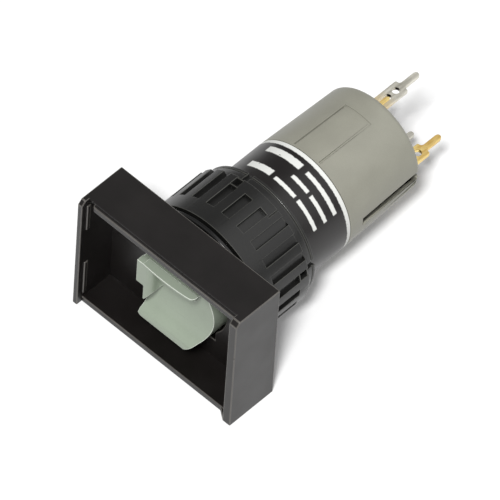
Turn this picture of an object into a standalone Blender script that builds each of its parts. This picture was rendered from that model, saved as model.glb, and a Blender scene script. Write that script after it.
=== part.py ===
"""Self-locking illuminated push switch for a round panel hole.

The switch lies along Y. Its rectangular front faces -Y and its terminals point to +Y. The origin is on the
axis, in the plane where the rear face of the bezel meets the panel. Sizes are in millimetres, and MM turns
them into metres.
"""
import math

import bmesh
import bpy
from mathutils import Matrix, Vector

MM = 0.001

# Clearances
SEAT_GAP = 0.3
RUNNING_GAP = 0.3
THREAD_GAP = 0.15
SLOT_GAP = 0.2

# Sleeve, moulded in one with the bezel
SPIGOT_RADIUS = 7.9
SPIGOT_LENGTH = 1.0
THREAD_RADIUS = 7.55
THREAD_LENGTH = 9.6
SLEEVE_RADIUS = 7.3
SLEEVE_END = 16.7
SLEEVE_BORE = 6.5

# Gasket, round the spigot
GASKET_WIDTH = 0.55
GASKET_THICKNESS = 0.55
GASKET_START = 0.35

# Fixing nut, on the thread
NUT_GAP = 0.25
NUT_WALL = 1.2
NUT_RADIUS = THREAD_RADIUS + THREAD_GAP + NUT_WALL
NUT_COLLAR = 2.15
NUT_BARREL = 8.75
NUT_RING_STEP = 0.55
NUT_RING_RADIUS = NUT_RADIUS - NUT_RING_STEP
NUT_GRIP_END = 7.2
NUT_GROOVE_DEPTH = 0.5
NUT_GROOVE_ANGLE = 7.2
NUT_OPEN_GROOVES = (26.5, 41.5, 56.5)
NUT_CLOSED_GROOVES = (71.5, 86.5, 101.5)
NUT_CLOSED_END = 5.85
NUT_KEY_ANGLE = 102.0
NUT_KEY_COUNT = 4
NUT_KEY_WIDTH = 5.0
NUT_KEY_LENGTH = 1.6
NUT_KEY_DEPTH = 0.35

# Bezel: a box open at the front, whose side walls stand further forward than its long walls. Its long side
# just covers the nut, so that switches can sit close together.
NUT_COVER = 0.1
FRONT_WIDTH = 24.0
FRONT_HEIGHT = 2 * (NUT_RADIUS + NUT_COVER)
BEZEL_DEPTH = 6.85
LEFT_WALL = 0.65
RIGHT_WALL = 1.1
LONG_WALL = 0.8
LONG_WALL_SETBACK = 0.8
FLOOR_THICKNESS = 1.6
BEZEL_EDGE_RADIUS = 0.2
LIP_CORNER_LENGTH = 0.55
LIP_CORNER_HEIGHT = 0.6
NOTCH_WIDTH = 1.1
NOTCH_DEPTH = 0.33
GUSSET_WIDTH = 1.1
GUSSET_ROOT = 0.3
PANEL_RELIEF_DEPTH = 0.1
PANEL_RELIEF_ROOM = 0.2
LEFT_RIB_HEIGHT = 0.15
LEFT_RIB_LEVELS = ((-7.5, -2.1), (3.7, 7.9))
RIGHT_RIB_HEIGHT = 0.4
RIGHT_RIB_LEVELS = ((-7.4, -2.4), (2.4, 7.4))
SNAP_RIB_DEPTH = 0.5

# Lens carrier, the pale part that the lens clips to
CARRIER_RADIUS = 5.7
CARRIER_FACE = 1.7
CARRIER_WALL = 0.9
CARRIER_FRONT_WALL = 1.0
LIP_WIDTH = 7.2
LIP_REACH = 2.1
LIP_TOP = -3.8
LIP_BOTTOM = -5.0
LIP_NOSE = 0.45
COVE_FRONT = 0.1
COVE_RISE = 4.4
COVE_STEPS = 7
TOP_BAR_WIDTH = 8.34
TOP_BAR_REACH = 1.05
TOP_BAR_TOP = 4.5
TOP_BAR_UNDERSIDE = ((-4.17, 2.9), (-2.9, 2.53), (-1.5, 2.37), (0.2, 2.48), (1.7, 2.73), (3.1, 3.1), (4.17, 3.8))
CHEEK_REACH = 2.1
CHEEK_INNER = 2.2
CHEEK_STEP = 1.06
CHEEK_STEP_HEIGHT = 0.78
CHEEK_BOTTOM = -1.4
CHEEK_SLANT = (0.7, 1.2)
KEYWAY_GAP = 0.33
KEYWAY_NOTCH = 0.5

# Slider, the dark core that carries the lens carrier, the lamp and the latch cam
TRAVEL = 3.0
LATCHED_TRAVEL = 2.2
SLIDER_FLANGE_RADIUS = 6.15
SLIDER_FLANGE_THICKNESS = 1.0
SLIDER_SHANK = 4.6
SLIDER_BORE = 3.4
SLIDER_BORE_END = 7.5
SLIDER_END = 16.3
CAM_FLAT = 3.7
CAM_FLAT_START = 11.0
LEAD_GROOVE_WIDTH = 1.6
LEAD_GROOVE_FLOOR = 3.9

# Latch: a heart-shaped track in the slider and a bent wire that runs in it
PIN_DIAMETER = 0.5
TRACK_WIDTH = 1.0
TRACK_DEPTH = 0.8
TRACK_STEP = 0.15
TRACK_START = 15.3
TRACK_SWING = 0.85
PIN_CLEARANCE = 0.2
PIN_PIVOT = 20.3
PIN_LEG = 4.75
HEART_WIDTH = 0.75
PIVOT_BOSS_RADIUS = 0.9
PIVOT_BOSS_REACH = 0.7

# Leaf behind the latch pin
LEAF_THICKNESS = 0.15
LEAF_HALF_WIDTH = 1.1
LEAF_GAP = 0.1
LEAF_INSET = 0.7
LEAF_STRAIGHT = 6.2
LEAF_BEND = 0.6
LEAF_TAIL = 0.6

# Return spring and its seat
SPRING_RADIUS = 5.55
SPRING_WIRE = 0.6
SPRING_TURNS = 4.0
SPRING_SEAT_START = 8.2
SPRING_SEAT_END = 10.2
SPRING_SEAT_FLANGE = 0.8
SPRING_SEAT_STEP = 0.45

# Switch housing, the grey shell behind the label band
HOUSING_FRONT_RADIUS = 7.29
HOUSING_REAR_RADIUS = 6.95
HOUSING_END = 28.3
HOUSING_EDGE = 0.7
HOUSING_BORE = 6.2
HOUSING_SPIGOT_START = 10.5
HOUSING_SPIGOT_BORE = 5.45
HOUSING_SPIGOT_TAPER = 0.6
TONGUE_LENGTH = 7.9
TONGUE_START = 17.05
TONGUE_CENTRE_ANGLE = 91.0
TONGUE_WIDTH = 3.9
TONGUE_SLIT = 0.25
TONGUE_RELIEF = 0.35
KEY_SLOT_START = 18.75
KEY_SLOT_WIDTH = 1.15

# Terminals
TERMINAL_WIDTH = 1.9
TERMINAL_THICKNESS = 0.5
TERMINAL_REACH = 3.9
TERMINAL_PIN_LENGTH = 2.6
TERMINAL_PIN_WIDTH = 0.75
TERMINAL_SHOULDER = 0.35
TERMINAL_HOLE = 0.45
TERMINAL_HOLE_INSET = 1.0
TERMINAL_SLOT_WIDTH = 0.8
TERMINAL_SLOT_LENGTH = 1.5
TERMINAL_SLOT_INSET = 1.9
UPPER_TERMINAL_HEIGHT = 5.55
LOWER_TERMINAL_HEIGHT = -5.0
LAMP_RAIL_START = 17.6
CONTACT_OFFSET = 3.9
CONTACT_HEIGHT = -2.0
CONTACT_RAIL_START = 21.0
BASE_START = 26.0
BASE_THICKNESS = 2.0
BASE_POST_RADIUS = 0.45
BASE_POST_LENGTH = 2.0

# Contact carriage, pushed by the slider
CARRIAGE_START = 16.6
CARRIAGE_LENGTH = 6.1
CARRIAGE_WIDTH = 3.8
CARRIAGE_TOP = 2.6
CARRIAGE_BOTTOM = -3.2
CARRIAGE_BORE = 1.4
CARRIAGE_BORE_START = 18.3
CARRIAGE_SPRING_RADIUS = 0.95
CARRIAGE_SPRING_WIRE = 0.3
CARRIAGE_SPRING_TURNS = 6.0
BRIDGE_START = 18.4
BRIDGE_WIDTH = 1.4
BRIDGE_THICKNESS = 0.2
BRIDGE_HALF_SPAN = 4.7
BRIDGE_CROWN = 0.35
BRIDGE_BEND = 2.3

# Lamp socket and its two wiping leads
SOCKET_RADIUS = 3.1
SOCKET_START = -1.6
SOCKET_END = 6.0
SOCKET_BORE = 2.1
SOCKET_FLOOR = 1.5
LEAD_THICKNESS = 0.2
LEAD_WIDTH = 1.0
LEAD_HEIGHT = 4.3
LEAD_HOOK_START = 2.0
LEAD_HOOK_DEPTH = 1.6
LEAD_RISE_START = 17.0
LEAD_BUMP = 19.3
LEAD_END = 20.3

# Segments on round pieces, fewer where the piece is hidden
ROUND = 60
INNER_ROUND = 40
SMALL_ROUND = 20
WIRE_ROUND = 6
SPRING_STEPS = 12
SMALL_SPRING_STEPS = 8


# Shared modelling steps
def clear_scene():
    for item in list(bpy.data.objects):
        bpy.data.objects.remove(item, do_unlink=True)


def finish(name, red, green, blue, roughness, metallic=0.0):
    """A plain Principled material."""
    material = bpy.data.materials.new(name)
    material.use_nodes = True
    shader = material.node_tree.nodes["Principled BSDF"]
    shader.inputs["Base Color"].default_value = (red, green, blue, 1.0)
    shader.inputs["Roughness"].default_value = roughness
    shader.inputs["Metallic"].default_value = metallic
    material.diffuse_color = (red, green, blue, 1.0)
    return material


def make_object(name, shape, material=None, origin=(0.0, 0.0, 0.0)):
    """Turns a bmesh in millimetres into an object whose origin is at the given point."""
    offset = Vector(origin)
    bmesh.ops.translate(shape, vec=-offset, verts=shape.verts)
    bmesh.ops.scale(shape, vec=(MM, MM, MM), verts=shape.verts)
    bmesh.ops.recalc_face_normals(shape, faces=shape.faces)
    mesh = bpy.data.meshes.new(name)
    shape.to_mesh(mesh)
    shape.free()
    item = bpy.data.objects.new(name, mesh)
    item.location = offset * MM
    bpy.context.scene.collection.objects.link(item)
    if material:
        mesh.materials.append(material)
    return item


def helper(item):
    """Keeps a cutter or an added form out of the finished model."""
    item.hide_render = True
    item.display_type = "WIRE"
    return item


def combine(item, operation, others):
    for other in others:
        step = item.modifiers.new(operation.title(), "BOOLEAN")
        step.operation = operation
        step.solver = "EXACT"
        step.object = helper(other)
    return item


def cut(item, *cutters):
    return combine(item, "DIFFERENCE", cutters)


def add(item, *forms):
    return combine(item, "UNION", forms)


def shade(item):
    """Smooth on round surfaces, sharp at edges."""
    item.data.shade_smooth()
    item.data.set_sharp_from_angle(angle=math.radians(30))
    return item


def turned_shape(profile, segments=ROUND):
    """A closed outline of (radius, y) points, turned about the Y axis."""
    shape = bmesh.new()
    rings = []
    for radius, y in profile:
        if radius == 0:
            rings.append([shape.verts.new((0, y, 0))] * segments)
            continue
        ring = []
        for step in range(segments):
            angle = 2 * math.pi * step / segments
            ring.append(shape.verts.new((radius * math.cos(angle), y, radius * math.sin(angle))))
        rings.append(ring)
    for index, ring in enumerate(rings):
        following = rings[(index + 1) % len(rings)]
        for step in range(segments):
            after = (step + 1) % segments
            corners = [ring[step], ring[after], following[after], following[step]]
            corners = list(dict.fromkeys(corners))
            if len(corners) > 2:
                shape.faces.new(corners)
    return shape


def turned(name, profile, material=None, segments=ROUND):
    return make_object(name, turned_shape(profile, segments), material)


def extruded(name, outline, axis, low, high, material=None, origin=(0.0, 0.0, 0.0)):
    """A closed outline pushed along an axis. The outline's points hold the other two axes, in X, Y, Z order."""
    shape = bmesh.new()
    place = {
        "X": lambda a, b, depth: (depth, a, b),
        "Y": lambda a, b, depth: (a, depth, b),
        "Z": lambda a, b, depth: (a, b, depth),
    }[axis]
    front = [shape.verts.new(place(a, b, low)) for a, b in outline]
    back = [shape.verts.new(place(a, b, high)) for a, b in outline]
    shape.faces.new(front)
    shape.faces.new(list(reversed(back)))
    count = len(outline)
    for index in range(count):
        after = (index + 1) % count
        shape.faces.new([front[index], back[index], back[after], front[after]])
    return make_object(name, shape, material, origin)


def block(name, x_range, y_range, z_range, material=None, origin=(0.0, 0.0, 0.0)):
    outline = rectangle(x_range[0], x_range[1], y_range[0], y_range[1])
    return extruded(name, outline, "Z", z_range[0], z_range[1], material, origin)


def rectangle(low_a, high_a, low_b, high_b):
    return [(low_a, low_b), (high_a, low_b), (high_a, high_b), (low_a, high_b)]


def arc(centre_a, centre_b, radius, start, end, steps):
    """Points on a circle between two angles in degrees, both ends included."""
    points = []
    for step in range(steps + 1):
        angle = math.radians(start + (end - start) * step / steps)
        points.append((centre_a + radius * math.cos(angle), centre_b + radius * math.sin(angle)))
    return points


def sector(inner, outer, centre_angle, width_angle, steps=4):
    """An outline between two radii and two angles, in the XZ plane."""
    start = centre_angle - width_angle / 2
    end = centre_angle + width_angle / 2
    return arc(0, 0, outer, start, end, steps) + arc(0, 0, inner, end, start, steps)


def tube_along(name, points, radius, material=None, origin=(0.0, 0.0, 0.0), sides=WIRE_ROUND):
    """A round wire through a list of points, closed at both ends."""
    shape = bmesh.new()
    points = [Vector(point) for point in points]
    tangents = []
    for index in range(len(points)):
        before = points[max(index - 1, 0)]
        after = points[min(index + 1, len(points) - 1)]
        tangents.append((after - before).normalized())
    normal = tangents[0].orthogonal().normalized()
    rings = []
    for index, point in enumerate(points):
        if index:
            turn = tangents[index - 1].rotation_difference(tangents[index])
            normal = turn @ normal
        side = tangents[index].cross(normal)
        ring = []
        for step in range(sides):
            angle = 2 * math.pi * step / sides
            offset = normal * math.cos(angle) + side * math.sin(angle)
            ring.append(shape.verts.new(point + offset * radius))
        rings.append(ring)
    for ring, following in zip(rings, rings[1:]):
        for step in range(sides):
            after = (step + 1) % sides
            shape.faces.new([ring[step], ring[after], following[after], following[step]])
    shape.faces.new(list(reversed(rings[0])))
    shape.faces.new(rings[-1])
    return make_object(name, shape, material, origin)


def coil(name, radius, wire, turns, start, end, material, turn_steps=SPRING_STEPS):
    """A compression spring about the Y axis between two planes, with its end turns closed flat."""
    closed = 0.75
    pitch_length = end - start - wire
    total = turns + 2 * closed
    steps = int(total * turn_steps)
    points = []
    for step in range(steps + 1):
        turn = total * step / steps
        share = min(max((turn - closed) / turns, 0.0), 1.0)
        lead = wire * 1.15
        rise = lead * min(turn / closed, 1.0) + lead * min(max((turn - closed - turns) / closed, 0.0), 1.0)
        y = start + wire / 2 + rise + (pitch_length - 2 * lead) * share
        angle = 2 * math.pi * turn
        points.append((radius * math.cos(angle), y, radius * math.sin(angle)))
    return tube_along(name, points, wire / 2, material)


# Bezel and sleeve
def long_wall_front():
    """The y of the long walls' front edges."""
    return -BEZEL_DEPTH + LONG_WALL_SETBACK


def side_wall_snap_ribs(side, wall, height, levels):
    """Two small ribs inside a side wall, level with the long walls' edges, which hold the lens."""
    ribs = []
    inner = side * (FRONT_WIDTH / 2 - wall)
    root = side * (FRONT_WIDTH / 2 - wall / 2)
    tip = inner - side * height
    front = long_wall_front()
    back = front + SNAP_RIB_DEPTH
    outline = [(root, front), (tip, front), (tip, back), (inner, back + height), (root, back + height)]
    for low, high in levels:
        ribs.append(extruded("snap_rib", outline, "Z", low, high))
    return ribs


def bezel_box():
    """The outer box, with its long edges rounded before the cavity is cut."""
    shape = bmesh.new()
    bmesh.ops.create_cube(shape, size=1.0)
    bmesh.ops.scale(shape, vec=(FRONT_WIDTH, BEZEL_DEPTH, FRONT_HEIGHT), verts=shape.verts)
    bmesh.ops.translate(shape, vec=(0, -BEZEL_DEPTH / 2, 0), verts=shape.verts)
    bmesh.ops.bevel(shape, geom=list(shape.edges), offset=BEZEL_EDGE_RADIUS, segments=2,
                    affect="EDGES", profile=0.5)
    return shape


def carrier_keyway():
    """The opening in the bezel's floor, round with a square that lets the carrier's bars through."""
    reach = FLOOR_THICKNESS + 1.0
    half_width = TOP_BAR_WIDTH / 2 + KEYWAY_GAP
    round_hole = turned("keyway_round", [
        (0, -reach), (CARRIER_RADIUS + RUNNING_GAP, -reach), (CARRIER_RADIUS + RUNNING_GAP, 1.0), (0, 1.0),
    ])
    square_hole = block("keyway_square", (-half_width, half_width), (-reach - 0.1, KEYWAY_NOTCH),
                        (LIP_BOTTOM - KEYWAY_GAP, TOP_BAR_TOP + KEYWAY_GAP))
    return round_hole, square_hole


def bezel_cavity():
    """One cutter for the cavity and for the long walls' setback, as (y, z) points pushed across the front."""
    inner_height = FRONT_HEIGHT / 2 - LONG_WALL
    front = -BEZEL_DEPTH - 1
    wall_front = long_wall_front()
    return extruded("cavity", [
        (-FLOOR_THICKNESS, -inner_height), (-FLOOR_THICKNESS, inner_height), (wall_front, inner_height),
        (wall_front, FRONT_HEIGHT), (front, FRONT_HEIGHT), (front, -FRONT_HEIGHT),
        (wall_front, -FRONT_HEIGHT), (wall_front, -inner_height),
    ], "X", LEFT_WALL - FRONT_WIDTH / 2, FRONT_WIDTH / 2 - RIGHT_WALL)


def lip_corner():
    """The slope that takes the upper front corner off both side walls."""
    top = FRONT_HEIGHT / 2
    low = top - LIP_CORNER_HEIGHT
    back = -BEZEL_DEPTH + LIP_CORNER_LENGTH
    return extruded("lip_corner", [
        (-BEZEL_DEPTH - 1, low), (-BEZEL_DEPTH, low), (back, top), (back, top + 1), (-BEZEL_DEPTH - 1, top + 1),
    ], "X", -FRONT_WIDTH, FRONT_WIDTH)


def wall_notch():
    """A slanted notch in the upper wall's edge, beside the left wall."""
    left = LEFT_WALL - FRONT_WIDTH / 2
    edge = long_wall_front()
    low = FRONT_HEIGHT / 2 - LONG_WALL
    outline = [(left, edge - 1), (left + NOTCH_WIDTH, edge - 1), (left + NOTCH_WIDTH, edge),
               (left, edge + NOTCH_DEPTH)]
    return extruded("wall_notch", outline, "Z", low - 1, low + LONG_WALL + 1)


def wall_gusset():
    """A small web between the lower wall's edge and the right wall's lip."""
    right = FRONT_WIDTH / 2 - RIGHT_WALL
    edge = long_wall_front()
    low = -FRONT_HEIGHT / 2
    outline = [(right - GUSSET_WIDTH, edge), (right, -BEZEL_DEPTH),
               (right + GUSSET_ROOT, -BEZEL_DEPTH + GUSSET_ROOT), (right + GUSSET_ROOT, edge + GUSSET_ROOT),
               (right - GUSSET_WIDTH, edge + GUSSET_ROOT)]
    return extruded("wall_gusset", outline, "Z", low + 0.05, low + LONG_WALL - 0.05)


def panel_relief():
    """Sets the rear face back where the gasket and the nut are, so that the panel bears on its two ends."""
    half = NUT_RADIUS + PANEL_RELIEF_ROOM
    return block("panel_relief", (-half, half), (-PANEL_RELIEF_DEPTH, 1.0), (-FRONT_HEIGHT, FRONT_HEIGHT))


def make_bezel(material):
    item = make_object("bezel_body", bezel_box(), material)
    chamfer = THREAD_RADIUS - SLEEVE_RADIUS
    sleeve = turned("sleeve", [
        (SLEEVE_BORE, -FLOOR_THICKNESS / 2), (SPIGOT_RADIUS, -FLOOR_THICKNESS / 2),
        (SPIGOT_RADIUS, SPIGOT_LENGTH), (THREAD_RADIUS, SPIGOT_LENGTH), (THREAD_RADIUS, THREAD_LENGTH),
        (SLEEVE_RADIUS, THREAD_LENGTH + chamfer), (SLEEVE_RADIUS, SLEEVE_END), (SLEEVE_BORE, SLEEVE_END),
    ])
    cut(item, bezel_cavity(), lip_corner(), wall_notch(), panel_relief())
    add(item, sleeve, wall_gusset(), *side_wall_snap_ribs(-1, LEFT_WALL, LEFT_RIB_HEIGHT, LEFT_RIB_LEVELS),
        *side_wall_snap_ribs(1, RIGHT_WALL, RIGHT_RIB_HEIGHT, RIGHT_RIB_LEVELS))
    cut(item, *carrier_keyway())
    return shade(item)


def make_gasket(material):
    inner = SPIGOT_RADIUS + RUNNING_GAP
    outer = inner + GASKET_WIDTH
    end = GASKET_START + GASKET_THICKNESS
    edge = 0.12
    return shade(turned("panel_gasket", [
        (inner, GASKET_START), (outer - edge, GASKET_START), (outer, GASKET_START + edge),
        (outer, end), (inner, end),
    ], material))


# Fixing nut: a smooth barrel with grip grooves, then a thinner ring with key notches
def make_nut(material):
    start = GASKET_START + GASKET_THICKNESS + NUT_GAP
    bore = THREAD_RADIUS + THREAD_GAP
    spigot_bore = SPIGOT_RADIUS + THREAD_GAP
    grip_end = start + NUT_GRIP_END
    end = start + NUT_BARREL
    edge = 0.15
    item = turned("fixing_nut", [
        (spigot_bore, start), (NUT_RADIUS - edge, start), (NUT_RADIUS, start + edge), (NUT_RADIUS, grip_end),
        (NUT_RING_RADIUS, grip_end + edge), (NUT_RING_RADIUS, end - edge), (NUT_RING_RADIUS - edge, end),
        (bore, end), (bore, SPIGOT_LENGTH + SEAT_GAP + edge), (spigot_bore, SPIGOT_LENGTH + SEAT_GAP),
    ], material)
    cut(item, *nut_grooves(start), *nut_key_notches(end))
    return shade(item)


def nut_grooves(start):
    """In each quarter three grooves run out at the rear, three stop short of it, and then comes a smooth part."""
    floor = NUT_RADIUS - NUT_GROOVE_DEPTH
    grooves = []
    for quarter in range(4):
        for angles, end in ((NUT_OPEN_GROOVES, NUT_GRIP_END + 1), (NUT_CLOSED_GROOVES, NUT_CLOSED_END)):
            for angle in angles:
                outline = sector(floor, NUT_RADIUS + 1, angle + 90 * quarter, NUT_GROOVE_ANGLE, 1)
                grooves.append(extruded("grip_groove", outline, "Y", start + NUT_COLLAR, start + end))
    return grooves


def nut_key_notches(end):
    """Four notches in the rear ring for the fitter's tool."""
    notches = []
    for index in range(NUT_KEY_COUNT):
        angle = NUT_KEY_ANGLE + 360 * index / NUT_KEY_COUNT
        outline = sector(NUT_RING_RADIUS - NUT_KEY_DEPTH, NUT_RADIUS + 1, angle, NUT_KEY_WIDTH, 2)
        notches.append(extruded("key_notch", outline, "Y", end - NUT_KEY_LENGTH, end + 1))
    return notches


# Lens carrier
def carrier_front():
    """The y of the carrier's round front face."""
    return -FLOOR_THICKNESS - CARRIER_FACE


def carrier_cove():
    """The hollow curve from the lip's edge up into the face, as (y, z) points on a cubic curve."""
    face = carrier_front()
    start = (face - LIP_REACH + COVE_FRONT, LIP_TOP)
    first_pull = (face - 0.8, LIP_TOP + 0.6)
    second_pull = (face - 0.05, LIP_TOP + COVE_RISE / 2)
    end = (face + 0.1, LIP_TOP + COVE_RISE)
    points = []
    for step in range(COVE_STEPS + 1):
        share = step / COVE_STEPS
        rest = 1 - share
        weights = (rest ** 3, 3 * rest ** 2 * share, 3 * rest * share ** 2, share ** 3)
        corners = (start, first_pull, second_pull, end)
        points.append(tuple(sum(w * corner[axis] for w, corner in zip(weights, corners)) for axis in (0, 1)))
    return points


def carrier_lip():
    """A shelf under the face, with the cove above it and a rounded nose that holds the lens."""
    face = carrier_front()
    front = face - LIP_REACH
    root = face + 0.5
    cove = carrier_cove()
    outline = [(root, LIP_BOTTOM), (front + LIP_NOSE, LIP_BOTTOM), (front, LIP_BOTTOM + LIP_NOSE),
               (front, LIP_TOP - COVE_FRONT), *cove, (root, cove[-1][1])]
    return extruded("carrier_lip", outline, "X", -LIP_WIDTH / 2, LIP_WIDTH / 2)


def carrier_cheek():
    """The left cheek: thick above, where it hooks the lens, and tapered below a step."""
    face = carrier_front()
    outer = -TOP_BAR_WIDTH / 2
    inner = -CHEEK_INNER
    outline = [
        (inner - CHEEK_SLANT[0], CHEEK_BOTTOM), (inner, CHEEK_BOTTOM + CHEEK_SLANT[1]), (inner, TOP_BAR_TOP),
        (outer, TOP_BAR_TOP), (outer, CHEEK_STEP_HEIGHT), (outer + CHEEK_STEP, CHEEK_STEP_HEIGHT),
        (outer + CHEEK_STEP, CHEEK_BOTTOM),
    ]
    return extruded("carrier_cheek", outline, "Y", face - CHEEK_REACH, face + 0.5)


def make_carrier(material):
    face = carrier_front()
    inner = CARRIER_RADIUS - CARRIER_WALL
    inner_face = face + CARRIER_FRONT_WALL
    edge = 0.15
    item = turned("lens_carrier", [
        (0, face), (CARRIER_RADIUS - edge, face), (CARRIER_RADIUS, face + edge), (CARRIER_RADIUS, 0),
        (inner, 0), (inner, inner_face), (0, inner_face),
    ], material)
    half = TOP_BAR_WIDTH / 2
    top = TOP_BAR_TOP - 0.02
    underside = [(-half + 0.02, TOP_BAR_UNDERSIDE[0][1]), *TOP_BAR_UNDERSIDE[1:]]
    bar = extruded("carrier_bar", [*underside, (half, top), (-half + 0.02, top)], "Y",
                   face - TOP_BAR_REACH, face + 0.51)
    add(item, carrier_lip(), carrier_cheek(), bar)
    inside = turned("carrier_inside", [(0, inner_face + 0.01), (inner - 0.01, inner_face + 0.01),
                                       (inner - 0.01, 1.0), (0, 1.0)])
    cut(item, inside)
    return shade(item)


# Slider with the heart-shaped cam
def track_path():
    """The lanes of the latch track on the slider, as (y, z) points at rest.

    The pin starts at the rear, runs forward along the upper lane while the switch is pushed in, drops into
    the heart's notch when it is let go, and goes home along the lower lane after the second push.
    """
    start = (TRACK_START, 0.0)
    pressed_up = (TRACK_START - TRAVEL, TRACK_SWING)
    latched = (TRACK_START - LATCHED_TRAVEL, 0.0)
    pressed_down = (TRACK_START - TRAVEL, -TRACK_SWING)
    return start, pressed_up, latched, pressed_down


def lane(name, first, second, floor):
    """A straight groove with round ends between two points of the track."""
    (y_a, z_a), (y_b, z_b) = first, second
    angle = math.degrees(math.atan2(z_b - z_a, y_b - y_a))
    half = TRACK_WIDTH / 2
    outline = arc(y_b, z_b, half, angle - 90, angle + 90, 8) + arc(y_a, z_a, half, angle + 90, angle + 270, 8)
    return extruded(name, outline, "X", -CAM_FLAT - 1.5, -floor)


def latch_track():
    start, pressed_up, latched, pressed_down = track_path()
    deep = CAM_FLAT - TRACK_DEPTH
    shallow = deep + TRACK_STEP
    return (
        lane("lane_push", start, pressed_up, deep),
        lane("lane_catch", pressed_up, latched, shallow),
        lane("lane_release", latched, pressed_down, deep + 0.02),
        lane("lane_home", pressed_down, start, shallow + 0.02),
    )


def make_slider(material):
    front = carrier_front() + CARRIER_FRONT_WALL + SEAT_GAP
    neck = CARRIER_RADIUS - CARRIER_WALL - RUNNING_GAP
    flange = SEAT_GAP
    flange_end = flange + SLIDER_FLANGE_THICKNESS
    edge = 0.15
    item = turned("plunger_slider", [
        (SLIDER_BORE, front), (neck, front), (neck, flange), (SLIDER_FLANGE_RADIUS, flange),
        (SLIDER_FLANGE_RADIUS, flange_end), (SLIDER_SHANK, flange_end), (SLIDER_SHANK, SLIDER_END - edge),
        (SLIDER_SHANK - edge, SLIDER_END), (0, SLIDER_END), (0, SLIDER_BORE_END),
        (SLIDER_BORE, SLIDER_BORE_END),
    ], material, INNER_ROUND)
    wide = SLIDER_SHANK + 1
    half_groove = LEAD_GROOVE_WIDTH / 2
    hook = LEAD_HOOK_START
    cutters = [block("cam_flat", (-wide, -CAM_FLAT), (CAM_FLAT_START, SLIDER_END + 1), (-wide, wide))]
    for side in (1, -1):
        levels = sorted((side * LEAD_GROOVE_FLOOR, side * wide))
        cutters.append(block("lead_groove", (-half_groove, half_groove), (flange_end + 0.3, SLIDER_END + 1),
                             levels))
        levels = sorted((side * (SLIDER_BORE - 0.4), side * wide))
        cutters.append(block("lead_window", (-half_groove + 0.01, half_groove - 0.01),
                             (flange_end + 0.31, hook + LEAD_THICKNESS + RUNNING_GAP), levels))
    cut(item, *cutters, *latch_track())
    return shade(item)


# Latch pin and the leaf that keeps it in the track
def make_latch_pin(material):
    """Bent wire. Its rear end turns in the housing's boss, and its front end runs in the slider's track."""
    radius = PIN_DIAMETER / 2
    floor = CAM_FLAT - TRACK_DEPTH + TRACK_STEP
    tip = -(floor + PIN_CLEARANCE)
    leg = -PIN_LEG
    bend = 0.45
    pivot_end = -(HOUSING_BORE - SEAT_GAP)
    points = [(tip, TRACK_START, 0), (leg + bend, TRACK_START, 0)]
    points += [(a, b, 0) for a, b in arc(leg + bend, TRACK_START + bend, bend, -90, -180, 4)[1:]]
    points += [(a, b, 0) for a, b in arc(leg - bend, PIN_PIVOT - bend, bend, 0, 90, 4)]
    points += [(pivot_end, PIN_PIVOT, 0)]
    return shade(tube_along("latch_pin", points, radius, material, (leg, PIN_PIVOT, 0)))


def make_latch_leaf(material):
    """Flat spring behind the latch pin, clipped in the housing's mouth."""
    inner = -(PIN_LEG + PIN_DIAMETER / 2 + LEAF_GAP)
    start = HOUSING_SPIGOT_START + LEAF_INSET
    bend = start + LEAF_STRAIGHT
    tail = bend + LEAF_BEND
    end = tail + LEAF_TAIL
    outline = [
        (inner, start), (inner, bend), (inner + LEAF_THICKNESS, tail), (inner + LEAF_THICKNESS, end),
        (inner, end), (inner, tail), (inner - LEAF_THICKNESS, bend), (inner - LEAF_THICKNESS, start),
    ]
    return extruded("latch_leaf_spring", outline, "Z", -LEAF_HALF_WIDTH, LEAF_HALF_WIDTH, material)


# Return spring and its seat
def make_return_spring(material):
    start = SEAT_GAP + SLIDER_FLANGE_THICKNESS + SEAT_GAP
    end = SPRING_SEAT_START - SEAT_GAP
    return shade(coil("return_spring", SPRING_RADIUS, SPRING_WIRE, SPRING_TURNS, start, end, material))


def make_spring_seat(material):
    """The stepped ring that the return spring pushes against."""
    outer = SLEEVE_BORE - RUNNING_GAP
    inner = SLIDER_SHANK + RUNNING_GAP
    step = outer - SPRING_SEAT_STEP
    return shade(turned("spring_seat", [
        (inner, SPRING_SEAT_START), (step, SPRING_SEAT_START),
        (step, SPRING_SEAT_END - SPRING_SEAT_FLANGE), (outer, SPRING_SEAT_END - SPRING_SEAT_FLANGE),
        (outer, SPRING_SEAT_END), (inner, SPRING_SEAT_END),
    ], material, INNER_ROUND))


# Switch housing
def tongue_cutters():
    """Three slits that free a latch tongue on one side of the shell."""
    half_angle = math.degrees(TONGUE_WIDTH / 2 / HOUSING_FRONT_RADIUS)
    slit_angle = math.degrees(TONGUE_SLIT / HOUSING_FRONT_RADIUS)
    end = TONGUE_START + TONGUE_LENGTH
    inner = HOUSING_FRONT_RADIUS - TONGUE_RELIEF
    outer = HOUSING_FRONT_RADIUS + 1
    cutters = []
    for side in (-1, 1):
        angle = TONGUE_CENTRE_ANGLE + side * half_angle
        outline = sector(inner, outer, angle, slit_angle, 1)
        cutters.append(extruded("tongue_slit", outline, "Y", TONGUE_START, end))
    outline = sector(inner - 0.02, outer, TONGUE_CENTRE_ANGLE, 2 * half_angle + slit_angle, 8)
    cutters.append(extruded("tongue_end_slit", outline, "Y", end - 0.02, end + TONGUE_SLIT))
    return cutters


def pivot_boss():
    """A boss on the inner wall with the hole that the latch pin turns in."""
    reach = HOUSING_BORE - PIVOT_BOSS_REACH
    low = -HOUSING_BORE - 0.4
    outline = arc(PIN_PIVOT, 0, PIVOT_BOSS_RADIUS, 0, 330, 11)
    hole = arc(PIN_PIVOT, 0, PIN_DIAMETER / 2 + PIN_CLEARANCE, 0, 330, 11)
    boss = extruded("pivot_boss", outline, "X", low, -reach)
    pivot_hole = extruded("pivot_hole", hole, "X", -HOUSING_BORE + 0.01, -reach + 1)
    return boss, pivot_hole


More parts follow.
